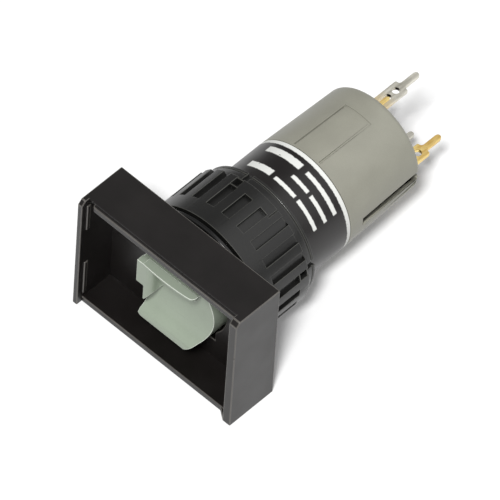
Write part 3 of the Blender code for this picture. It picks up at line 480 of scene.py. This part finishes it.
def printed_sleeve():
    """The sleeve's plastic with white pad-printed ink: a ring at the rear edge, and plain bars.

    The ink is a little thick and matt. Handling has worn it at its edges and chipped the ring.
    """
    material = black_plastic[0].copy()
    material.name = "black_polyamide_printed_white"
    tree = material.node_tree
    shader = tree.nodes["Principled BSDF"]
    place = node(tree, "ShaderNodeTexCoord").outputs["Object"]
    frayed = node(tree, "ShaderNodeTexNoise", {"Vector": place, "Scale": 1000 / 0.35, "Detail": 4.0})
    shift = node(tree, "ShaderNodeMapRange", {0: frayed.outputs[0], 3: -INK_FRAY, 4: INK_FRAY})
    axes = node(tree, "ShaderNodeSeparateXYZ", {0: place})
    along = node(tree, "ShaderNodeMath", {0: axes.outputs[1], 1: 1000.0, 2: shift.outputs[0]},
                 operation="MULTIPLY_ADD").outputs[0]
    turn = node(tree, "ShaderNodeMath", {0: axes.outputs[2], 1: axes.outputs[0]}, operation="ARCTAN2")
    round_it = node(tree, "ShaderNodeMath", {0: turn.outputs[0], 1: 180 / math.pi},
                    operation="MULTIPLY").outputs[0]
    ink = within(tree, along, *PRINTED_RING, 0.05)
    for y0, y1, a0, a1 in PRINTED_BARS:
        length = within(tree, along, y0, y1, 0.05)
        sweep = within(tree, round_it, a0, a1, 0.5)
        bar = node(tree, "ShaderNodeMath", {0: length, 1: sweep}, operation="MULTIPLY")
        ink = node(tree, "ShaderNodeMath", {0: ink, 1: bar.outputs[0]}, operation="MAXIMUM").outputs[0]
    wear = node(tree, "ShaderNodeTexNoise",
                {"Vector": place, "Scale": 1000 / 1.1, "Detail": 5.0, "Roughness": 0.65})
    kept = node(tree, "ShaderNodeMapRange", {0: wear.outputs[0], 1: 0.30, 2: 0.34})
    ink = node(tree, "ShaderNodeMath", {0: ink, 1: kept.outputs[0]}, operation="MULTIPLY").outputs[0]
    under = shader.inputs["Base Color"].links[0].from_socket
    tone = node(tree, "ShaderNodeMix", {0: ink, 6: under, 7: colour("e4e5e1")}, data_type="RGBA")
    tree.links.new(tone.outputs[2], shader.inputs["Base Color"])
    gloss = shader.inputs["Roughness"].links[0].from_socket
    rough = node(tree, "ShaderNodeMix", {0: ink, 2: gloss, 3: 0.55}, data_type="FLOAT")
    tree.links.new(rough.outputs[0], shader.inputs["Roughness"])
    return material


bezel.data.materials.append(printed_sleeve())
for face in bezel.data.polygons:
    middle = face.center / MM
    if middle.y > SLEEVE_START + 0.05 and math.hypot(middle.x, middle.z) > SLEEVE_RADIUS - 0.15:
        face.material_index = 2
    # The rebate's rear corner keeps the plain finish, without the painted edge highlight
    behind_rebate = WALL_FRONT + 0.15 < middle.y < WALL_FRONT + 0.55
    if middle.z > high - 0.25 and behind_rebate and middle.x < inner_right:
        face.material_index = 0
fitted(bezel, "housing", "black_body", "bezel_body")


# Gasket
# A ring of black rubber between the bezel and the panel, shiny from its mould.
GASKET_INNER = 8.2
GASKET_RADIUS = 8.75
GASKET_START = 0.35
GASKET_END = 0.9
GASKET_CORNER = 0.12

# Nitrile rubber from a polished mould, with one bright line round the ring; its rounded corners are painted
# a little paler, a painted highlight
rubber = moulding("black_nitrile_rubber", base="0b0b0b", edge="1c1c1c", roughness=0.22, grain=0.3,
                  speckle=0.1)

gasket = turned("gasket_ring", [
    (GASKET_INNER, GASKET_START), (GASKET_RADIUS - GASKET_CORNER, GASKET_START),
    (GASKET_RADIUS, GASKET_START + GASKET_CORNER), (GASKET_RADIUS, GASKET_END - GASKET_CORNER),
    (GASKET_RADIUS - GASKET_CORNER, GASKET_END), (GASKET_INNER, GASKET_END),
])
eased(gasket, 0.08, rubber)
fitted(gasket, "housing", "gasket_rubber", "panel_gasket")


# Fixing nut
# Black moulded nut that clamps the switch in the panel: a smooth barrel with grip grooves for the
# fingers, some open at the rear and some closed, then a thinner ring with notches for a tool.
NUT_START = 1.15
NUT_END = 9.9
NUT_RADIUS = 8.9
NUT_BORE = 7.7
FRONT_BORE = 8.05
GROOVE_FLOOR = 8.4
GROOVE_ANGLE = 7.2
GROOVE_PITCH = 15.0
GROOVE_START = 3.3
CLOSED_GROOVE_END = 7.0
GROOVES_IN_QUARTER = 3
BARREL_END = 8.4
RING_RADIUS = 8.35
RING_LINE = (9.42, 9.58)
RING_LINE_DEPTH = 0.1
KEY_FLOOR = 8.0
KEY_PLACE = 102.0

# Moulded polyamide from a plainer tool, a little greyer, with paler rims along its grooves that are a
# painted highlight
nut_plastic = moulding("black_moulded_nut", base="181817", edge="474743", roughness=0.34, grain=0.18,
                       speckle=0.2)


def sector(inner, outer, centre, width, steps=4):
    """An outline between two radii and two angles, in the XZ plane."""
    start, end = centre - width / 2, centre + width / 2
    return arc(0, 0, outer, start, end, steps) + arc(0, 0, inner, end, start, steps)


def quarters_tree():
    """Geometry nodes that repeat a solid about the Y axis, a few times in each quarter of a turn."""
    tree = bpy.data.node_groups.new("repeat_in_quarters", "GeometryNodeTree")
    inputs = (
        ("Solid", "Geometry"), ("Number in a quarter", "Int"), ("First angle", "Float"), ("Pitch", "Float"),
        ("Finish", "Material"),
    )
    for name, kind in inputs:
        tree.interface.new_socket(name, in_out="INPUT", socket_type="NodeSocket" + kind)
    tree.interface.new_socket("Solid", in_out="OUTPUT", socket_type="NodeSocketGeometry")
    given = node(tree, "NodeGroupInput").outputs
    total = node(tree, "ShaderNodeMath", {0: given["Number in a quarter"], 1: 4.0}, operation="MULTIPLY")
    points = node(tree, "GeometryNodePoints", {"Count": total.outputs[0]})
    index = node(tree, "GeometryNodeInputIndex").outputs[0]
    share = node(tree, "ShaderNodeMath", {0: index, 1: given["Number in a quarter"]}, operation="DIVIDE")
    quarter = node(tree, "ShaderNodeMath", {0: share.outputs[0]}, operation="FLOOR")
    place = node(tree, "ShaderNodeMath", {0: index, 1: given["Number in a quarter"]}, operation="MODULO")
    terms = {0: place.outputs[0], 1: given["Pitch"], 2: given["First angle"]}
    stepped = node(tree, "ShaderNodeMath", terms, operation="MULTIPLY_ADD")
    angle = node(tree, "ShaderNodeMath", {0: quarter.outputs[0], 1: 90.0, 2: stepped.outputs[0]},
                 operation="MULTIPLY_ADD")
    turn = node(tree, "ShaderNodeMath", {0: angle.outputs[0], 1: -math.pi / 180}, operation="MULTIPLY")
    rotation = node(tree, "ShaderNodeCombineXYZ", {1: turn.outputs[0]})
    copies = {"Points": points.outputs[0], "Instance": given["Solid"], "Rotation": rotation.outputs[0]}
    repeated = node(tree, "GeometryNodeInstanceOnPoints", copies)
    real = node(tree, "GeometryNodeRealizeInstances", {0: repeated.outputs[0]})
    finished = node(tree, "GeometryNodeSetMaterial",
                    {"Geometry": real.outputs[0], "Material": given["Finish"]})
    node(tree, "NodeGroupOutput", {0: finished.outputs[0]})
    return tree


QUARTERS = quarters_tree()


def in_quarters(item, number, first, pitch, finish):
    """Repeats a solid that is made at angle zero, and makes the result its plain mesh."""
    change = item.modifiers.new("quarters", "NODES")
    change.node_group = QUARTERS
    sockets = {socket.name: socket.identifier for socket in QUARTERS.interface.items_tree
               if socket.in_out == "INPUT"}
    change[sockets["Number in a quarter"]] = number
    change[sockets["First angle"]] = first
    change[sockets["Pitch"]] = pitch
    change[sockets["Finish"]] = finish
    return settled(item)


def quarter_cutter(name, floor, width, y_range, first, number=1):
    """Cutters from a floor radius outwards, their width in degrees, repeated in each quarter."""
    solid = pushed(name, sector(floor, OUTSIDE, 0, width, 3), "Y", *y_range)
    return ("DIFFERENCE", in_quarters(solid, number, first, GROOVE_PITCH, nut_plastic[0]))


line_start, line_end = RING_LINE
line_floor = RING_RADIUS - RING_LINE_DEPTH
nut = turned("grooved_nut", [
    (FRONT_BORE, NUT_START), (NUT_RADIUS, NUT_START), (NUT_RADIUS, BARREL_END),
    (RING_RADIUS, BARREL_END + 0.12), (RING_RADIUS, line_start), (line_floor, line_start + 0.04),
    (line_floor, line_end - 0.04), (RING_RADIUS, line_end), (RING_RADIUS, NUT_END), (NUT_BORE, NUT_END),
    (NUT_BORE, NUT_START + 0.3), (FRONT_BORE, NUT_START + 0.15),
], 180)
open_range, closed_range = (GROOVE_START, OUTSIDE), (GROOVE_START, CLOSED_GROOVE_END)
shaped(nut, [
    quarter_cutter("open_groove", GROOVE_FLOOR, GROOVE_ANGLE, open_range, 26.5, GROOVES_IN_QUARTER),
    quarter_cutter("closed_groove", GROOVE_FLOOR, GROOVE_ANGLE, closed_range, 71.5, GROOVES_IN_QUARTER),
    quarter_cutter("shoulder_slit", 8.6, 0.7, (6.9, OUTSIDE), 65.7),
    quarter_cutter("shoulder_hole", KEY_FLOOR, 6.6, (7.15, 8.15), KEY_PLACE),
    quarter_cutter("key_notch", KEY_FLOOR, 5.0, (8.3, OUTSIDE), KEY_PLACE),
])
eased(nut, 0.06, nut_plastic, 2)
fitted(nut, "nut", "nut_black", "fixing_nut")


# Lens carrier
# Pale green translucent moulding that the lens clips to. Its face runs down in one hollow curve to the
# lip, and has a rounded cheek at the left and a thin shelf with a bowed front at the top.
CARRIER_FACE = -3.3
CARRIER_RADIUS = 5.7
CARRIER_FRONT = -6.5
CARRIER_CLEAR = 9.0
LIP_NOSE = -5.4
LIP_UNDERSIDE = -5.0
LIP_LEFT = -3.8
COVE_START = (-4.9, -3.62)
COVE_END = (CARRIER_FACE, 0.6)
CHEEK_LEFT = -4.17
CHEEK_BACK = -2.8
CHEEK_LEVELS = (-1.4, 4.52)
SHELF_LEFT = -3.27
SHELF_BACK = -4.1
SHELF_LEVELS = (4.32, 4.62)

# Polycarbonate, a milky even green; its thin edges are painted pale, a painted highlight
sage_plastic = moulding("pale_green_polycarbonate", base="a0ab9a", edge="eaf0e5", roughness=0.32, grain=0.25,
                        speckle=0.04)


def curve(start, first_pull, second_pull, end, steps):
    """Points on a cubic curve between two points, drawn towards two others."""
    points = []
    for step in range(steps + 1):
        share = step / steps
        rest = 1 - share
        weights = (rest ** 3, 3 * rest ** 2 * share, 3 * rest * share ** 2, share ** 3)
        corners = (start, first_pull, second_pull, end)
        points.append(tuple(sum(w * corner[axis] for w, corner in zip(weights, corners)) for axis in (0, 1)))
    return points


carrier = turned("green_lens_carrier", [
    (0, CARRIER_FRONT), (CARRIER_RADIUS, CARRIER_FRONT), (CARRIER_RADIUS, 0), (4.8, 0),
    (4.8, CARRIER_FACE + 1), (0, CARRIER_FACE + 1),
], 96)
before_face = pushed("before_face", [
    (-CARRIER_CLEAR, -CARRIER_CLEAR), (CARRIER_FACE, -CARRIER_CLEAR), (CARRIER_FACE, LIP_UNDERSIDE),
    (-5.05, LIP_UNDERSIDE), (LIP_NOSE, -4.65),
    *curve((LIP_NOSE, -4.4), (LIP_NOSE, -4.05), (-5.25, -3.78), COVE_START, 4),
    *curve(COVE_START, (-4.0, -3.22), (CARRIER_FACE, -1.6), COVE_END, 12)[1:],
    (CARRIER_FACE, CARRIER_CLEAR), (-CARRIER_CLEAR, CARRIER_CLEAR),
], "X", LIP_LEFT, CARRIER_CLEAR)
left_of_lip = block("left_of_lip", (-CARRIER_CLEAR, -3.6), (-CARRIER_CLEAR, CARRIER_FACE),
                    (-CARRIER_CLEAR, CARRIER_CLEAR))
cheek = pushed("cheek", [
    (CHEEK_LEFT, CHEEK_BACK), (CHEEK_LEFT, LIP_NOSE), *arc(-2.82, -4.6, 0.8, 270, 360, 8),
    *arc(-1.02, -4.3, 1.0, 180, 90, 8), (-1.02, CHEEK_BACK),
], "Z", *CHEEK_LEVELS)
shaped(cheek, [
    ("DIFFERENCE", block("under_step", (-6.0, -3.08), (-6.0, -2.0), (-2.5, 0.85))),
    ("DIFFERENCE", pushed("slant", [(-3.25, -2.0), (0.2, 3.914), (0.2, -2.0)], "Y", -6.0, -2.0)),
])
shelf = pushed("shelf", [
    (SHELF_LEFT, SHELF_BACK), *curve((SHELF_LEFT, -5.44), (-1.0, -5.63), (2.0, -5.63), (3.7, -5.32), 12),
    (3.95, -5.15), (4.12, -4.85), (4.16, SHELF_BACK),
], "Z", *SHELF_LEVELS)
web = block("web", (-3.15, 4.0), (-4.75, -2.7), (3.95, 4.5))
behind_shelf = block("behind_shelf", (-6.0, 6.0), (-4.4, CARRIER_FACE), (4.22, 6.0))
shaped(carrier, [
    ("DIFFERENCE", before_face), ("DIFFERENCE", left_of_lip), ("UNION", cheek), ("UNION", web),
    ("UNION", shelf), ("DIFFERENCE", behind_shelf),
])
eased(carrier, 0.055, sage_plastic, 2, weld=0.03)
fitted(carrier, "plunger", "pale_green", "lens_carrier")


# Slider, latch, lamp socket and contact carriage
# Dark core behind the carrier with the latch track and its steel pin, the ivory lamp cup in it with two
# gilt wiping strips, and the ivory carriage behind it that holds the gilt contact bridge.
# Acetal, dark and waxy, and a cream lamp-socket plastic with an even dull face
dark_plastic = moulding("dark_slider_acetal", base="1a1a19", edge="2a2a29", roughness=0.4, grain=0.2,
                        speckle=0.1)
ivory_plastic = moulding("ivory_socket_plastic", base="c9c2ae", edge="d8d2c0", roughness=0.4, grain=0.2,
                         speckle=0.05)


def plated(name, base, worn, roughness, grain, root=None):
    """A plated metal sheet: the plating, and the duller tone that shows in its rolling marks.

    The brass can show through near the housing, as a root colour.
    """
    material = bpy.data.materials.new(name)
    material.use_nodes = True
    tree = material.node_tree
    shader = tree.nodes["Principled BSDF"]
    place = node(tree, "ShaderNodeTexCoord").outputs["Object"]
    stretch = node(tree, "ShaderNodeMapping", {"Vector": place, "Scale": (1.0, 0.12, 1.0)})
    rolled = node(tree, "ShaderNodeTexNoise",
                  {"Vector": stretch.outputs[0], "Scale": 1000 / grain, "Detail": 5.0})
    stain = node(tree, "ShaderNodeTexNoise", {"Vector": place, "Scale": 1000 / (grain * 9), "Detail": 3.0})
    blend = node(tree, "ShaderNodeMix", {0: 0.5, 2: rolled.outputs[0], 3: stain.outputs[0]},
                 data_type="FLOAT")
    ramp = node(tree, "ShaderNodeValToRGB", {0: blend.outputs[0]})
    ramp.color_ramp.elements[0].position = 0.35
    ramp.color_ramp.elements[0].color = colour(worn)
    ramp.color_ramp.elements[1].position = 0.6
    ramp.color_ramp.elements[1].color = colour(base)
    tone = ramp.outputs[0]
    if root:
        axes = node(tree, "ShaderNodeSeparateXYZ", {0: place})
        near = node(tree, "ShaderNodeMapRange",
                    {0: axes.outputs[1], 1: 28.4 * MM, 2: 30.4 * MM, 3: 0.7, 4: 0.0})
        tone = node(tree, "ShaderNodeMix", {0: near.outputs[0], 6: tone, 7: colour(root)},
                    data_type="RGBA").outputs[2]
    rough = node(tree, "ShaderNodeMapRange",
                 {0: blend.outputs[0], 1: 0.3, 2: 0.7, 3: roughness * 1.3, 4: roughness * 0.7})
    bump = node(tree, "ShaderNodeBump",
                {"Height": rolled.outputs[0], "Strength": 0.15, "Distance": 0.02 * MM})
    tree.links.new(tone, shader.inputs["Base Color"])
    tree.links.new(rough.outputs[0], shader.inputs["Roughness"])
    tree.links.new(bump.outputs[0], shader.inputs["Normal"])
    shader.inputs["Metallic"].default_value = 1.0
    return material


# Gold on rolled brass, warm with fine dull streaks along its length
gold = plated("gold_plated_brass", base="f2da92", worn="cfa557", roughness=0.28, grain=0.3)
# Tin on brass, grey-white, with a warm cast where the brass shows near the housing
tin = plated("tinned_brass", base="dbd8cc", worn="a6a398", roughness=0.3, grain=0.3, root="e3c98c")
# Drawn spring steel, bright grey with darker drawing marks
steel = plated("bright_spring_steel", base="b4b4b4", worn="8a8a8a", roughness=0.25, grain=0.2)


def refinished(name, material):
    """Gives a CAD node that keeps its shape its finish."""
    nodes[name].data.materials.clear()
    nodes[name].data.materials.append(material)


INNER_FINISHES = (
    ("dark_inner", dark_plastic[0], ("plunger_slider", "spring_seat")),
    ("ivory", ivory_plastic[0], ("lamp_socket", "contact_carriage")),
    ("gold_plate", gold, ("lamp_lead_upper", "lamp_lead_lower", "contact_bridge")),
    ("spring_steel", steel, ("latch_pin", "latch_leaf_spring")),
)
for slot, material, names in INNER_FINISHES:
    for name in names:
        refinished(name, material)


# Springs
# Round wire coils of bright spring steel, with closed ends.
def wound(name, radius, wire, turns, start, end):
    """A compression spring about the Y axis between two planes, its last turns closed."""
    closed = 0.75
    total = turns + 2 * closed
    steps = int(total * 40)
    lead = wire * 1.15
    sides = 14
    shape = bmesh.new()
    rings = []
    for step in range(steps + 1):
        turn = total * step / steps
        share = min(max((turn - closed) / turns, 0.0), 1.0)
        rise = lead * min(turn / closed, 1.0) + lead * min(max((turn - closed - turns) / closed, 0.0), 1.0)
        y = start + wire / 2 + rise + (end - start - wire - 2 * lead) * share
        angle = 2 * math.pi * turn
        out = Vector((math.cos(angle), 0, math.sin(angle)))
        ring = []
        for side in range(sides):
            around = 2 * math.pi * side / sides
            ring.append(shape.verts.new(out * (radius + wire / 2 * math.cos(around))
                                        + Vector((0, y + wire / 2 * math.sin(around), 0))))
        rings.append(ring)
    for ring, following in zip(rings, rings[1:]):
        for side in range(sides):
            after = (side + 1) % sides
            shape.faces.new([ring[side], ring[after], following[after], following[side]])
    shape.faces.new(rings[0])
    shape.faces.new(list(reversed(rings[-1])))
    item = placed(name, shape, steel)
    item.data.shade_smooth()
    item.data.set_sharp_from_angle(angle=math.radians(50))
    return item


RETURN_SEAT = 7.9
CARRIAGE_SEAT = 25.7
return_coil = wound("return_coil", radius=5.55, wire=0.6, turns=4.0, start=1.6, end=RETURN_SEAT)
fitted(return_coil, "housing", "spring_steel", "return_spring")
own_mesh(return_coil)
carriage_coil = wound("carriage_coil", radius=0.8, wire=0.28, turns=6.0, start=18.62, end=CARRIAGE_SEAT)
fitted(carriage_coil, "housing", "spring_steel", "carriage_spring")
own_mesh(carriage_coil)


# Switch housing
# Grey-beige glass-filled moulding over the contacts, with a sprung latch tongue on top and a key slot.
HOUSING_START = 16.76
HOUSING_END = 28.3
HOUSING_FRONT = 7.29
HOUSING_REAR = 6.95
HOUSING_BORE = 6.2
HOUSING_CORNER = 0.7
HOUSING_CLEAR = 9.0
BORE_START = 17.6
SPIGOT_START = 10.5
SPIGOT_BORE = 5.45
LATCH_PIVOT = (20.3, 0)
BOSS_RADIUS = 0.9
BOSS_BORE = 0.45
KEY_SLOT_START = 18.75
KEY_SLOT_HALF_WIDTH = 0.575
TONGUE_MIDDLE = 91.0
TONGUE_HALF_WIDTH = 1.95
TONGUE_START = 17.05
TONGUE_END = 24.95
SLIT_WIDTH = 0.25
SLIT_FLOORS = ((-1, 7.0), (1, 6.6))
END_SLIT_FLOOR = 6.92

# Glass-filled polyester, a matt grey-beige with a fine mottle from the fibres
grey_plastic = moulding("grey_beige_filled_polyester", base="929185", edge="b9b8ac", roughness=0.42,
                        grain=0.14, speckle=0.06)

corner = arc(HOUSING_REAR - HOUSING_CORNER, HOUSING_END - HOUSING_CORNER, HOUSING_CORNER, 0, 90, 8)
shell = turned("grey_shell", [
    (SPIGOT_BORE, SPIGOT_START), (HOUSING_BORE, SPIGOT_START), (HOUSING_BORE, HOUSING_START),
    (HOUSING_FRONT, HOUSING_START), *corner, (HOUSING_BORE, HOUSING_END), (HOUSING_BORE, BORE_START),
    (SPIGOT_BORE, HOUSING_START),
])
boss = pushed("boss", arc(*LATCH_PIVOT, BOSS_RADIUS, 0, 345, 23), "X", -6.6, -5.5)
boss_hole = pushed("boss_hole", arc(*LATCH_PIVOT, BOSS_BORE, 0, 345, 23), "X", -6.19, -4.5)
key_slot = block("key_slot", (5.2, 8.3), (KEY_SLOT_START, 30.0), (-KEY_SLOT_HALF_WIDTH, KEY_SLOT_HALF_WIDTH))
key_undercut = block("key_undercut", (4.9, 6.9), (18.9, 27.8), (-1.7, -0.4))
steps = [("UNION", boss), ("DIFFERENCE", boss_hole), ("DIFFERENCE", key_slot), ("DIFFERENCE", key_undercut)]
half_angle = math.degrees(TONGUE_HALF_WIDTH / HOUSING_FRONT)
slit_angle = math.degrees(SLIT_WIDTH / HOUSING_FRONT)
for side, floor in SLIT_FLOORS:
    outline = sector(floor, HOUSING_CLEAR, TONGUE_MIDDLE + side * half_angle, slit_angle, 2)
    steps.append(("DIFFERENCE", pushed("slit", outline, "Y", TONGUE_START, TONGUE_END)))
outline = sector(END_SLIT_FLOOR, HOUSING_CLEAR, TONGUE_MIDDLE, 2 * half_angle + slit_angle, 10)
steps.append(("DIFFERENCE", pushed("end_slit", outline, "Y", TONGUE_END - 0.02, TONGUE_END + SLIT_WIDTH)))
shaped(shell, steps)
eased(shell, 0.05, grey_plastic[:1], 2)
fitted(shell, "housing", "grey_beige", "switch_housing")


# Terminal base and terminals
# A dark disc closes the housing. Four flat brass terminals pass through it, the lamp's pair tinned
# and the contacts' pair gold-plated, each with a solder hole, a slot and a pin end.
BASE_START = 26.0
BASE_END = 28.0
BASE_RADIUS = 5.9
POST_RADIUS = 0.45
POST_START = 24.0
BLADE_HALF_WIDTH = 0.95
BLADE_HALF_THICKNESS = 0.25
WAY_ROOM = 0.2
HOLE_PLACE = 31.2
HOLE_RADIUS = 0.45
SLOT_PLACES = (28.4, 29.9)
SLOT_RADIUS = 0.4
# Half of a blade's outline past its start, from the blade's shoulder to the pin's tip, as (half width, y)
BLADE_TIP = (
    (BLADE_HALF_WIDTH, 32.0), (0.9, 32.15), (0.8, 32.2), (0.6, 32.22), (0.46, 32.3), (0.39, 32.45),
    (0.375, 32.6), (0.375, 34.4), (0.3, 34.65), (0.17, 34.78), (0.0, 34.8),
)
# Each terminal as (name, CAD node, x, z, y of its inner end, metal, slot)
TERMINALS = (
    ("terminal_top", "lamp_terminal_upper", 0.0, 5.55, 17.6, tin, "tinned"),
    ("terminal_bottom", "lamp_terminal_lower", 0.0, -5.0, 17.6, tin, "tinned"),
    ("terminal_right", "contact_terminal_right", 3.9, -2.0, 21.0, gold, "gold_plate"),
    ("terminal_left", "contact_terminal_left", -3.9, -2.0, 21.0, gold, "gold_plate"),
)

# Filled polyester, dark brown-grey and dull; its rounded edges are painted a little paler, a painted
# highlight
base_plastic = moulding("dark_base_polyester", base="3b3934", edge="4b4942", roughness=0.5, grain=0.15,
                        speckle=0.1)

base = turned("base_disc", [
    (0, BASE_START), (BASE_RADIUS, BASE_START), (BASE_RADIUS, BASE_END), (0, BASE_END),
])
post = turned("post", [(0, POST_START), (POST_RADIUS, POST_START), (POST_RADIUS, 26.5), (0, 26.5)], 24)
steps = [("UNION", post)]
way_half_width = BLADE_HALF_WIDTH + WAY_ROOM
way_half_height = BLADE_HALF_THICKNESS + WAY_ROOM
for terminal in TERMINALS:
    x, z = terminal[2:4]
    top = OUTSIDE if z > BASE_RADIUS - way_half_height else z + way_half_height
    way = block("way", (x - way_half_width, x + way_half_width), (BASE_START - 1, BASE_END + 1),
                (z - way_half_height, top))
    steps.append(("DIFFERENCE", way))
shaped(base, steps)
eased(base, 0.1, base_plastic, 2)
fitted(base, "housing", "dark_base", "terminal_base")
for name, replaced, x, z, start, metal, finish in TERMINALS:
    half = [(BLADE_HALF_WIDTH, start), *BLADE_TIP]
    outline = [(x + a, y) for a, y in half] + [(x - a, y) for a, y in reversed(half[:-1])]
    blade = pushed(name, outline, "Z", z - BLADE_HALF_THICKNESS, z + BLADE_HALF_THICKNESS)
    hole = pushed("hole", arc(x, HOLE_PLACE, HOLE_RADIUS, 0, 352.5, 47), "Z", z - 1, z + 1)
    ends = [arc(x, place, SLOT_RADIUS, turn, turn + 180, 16) for place, turn in zip(SLOT_PLACES, (180, 0))]
    slot = pushed("slot", ends[1] + ends[0], "Z", z - 1, z + 1)
    shaped(blade, [("DIFFERENCE", hole), ("DIFFERENCE", slot)])
    eased(blade, 0.06, [metal], 2)
    only_metal.objects.link(blade)
    fitted(blade, "housing", finish, replaced)
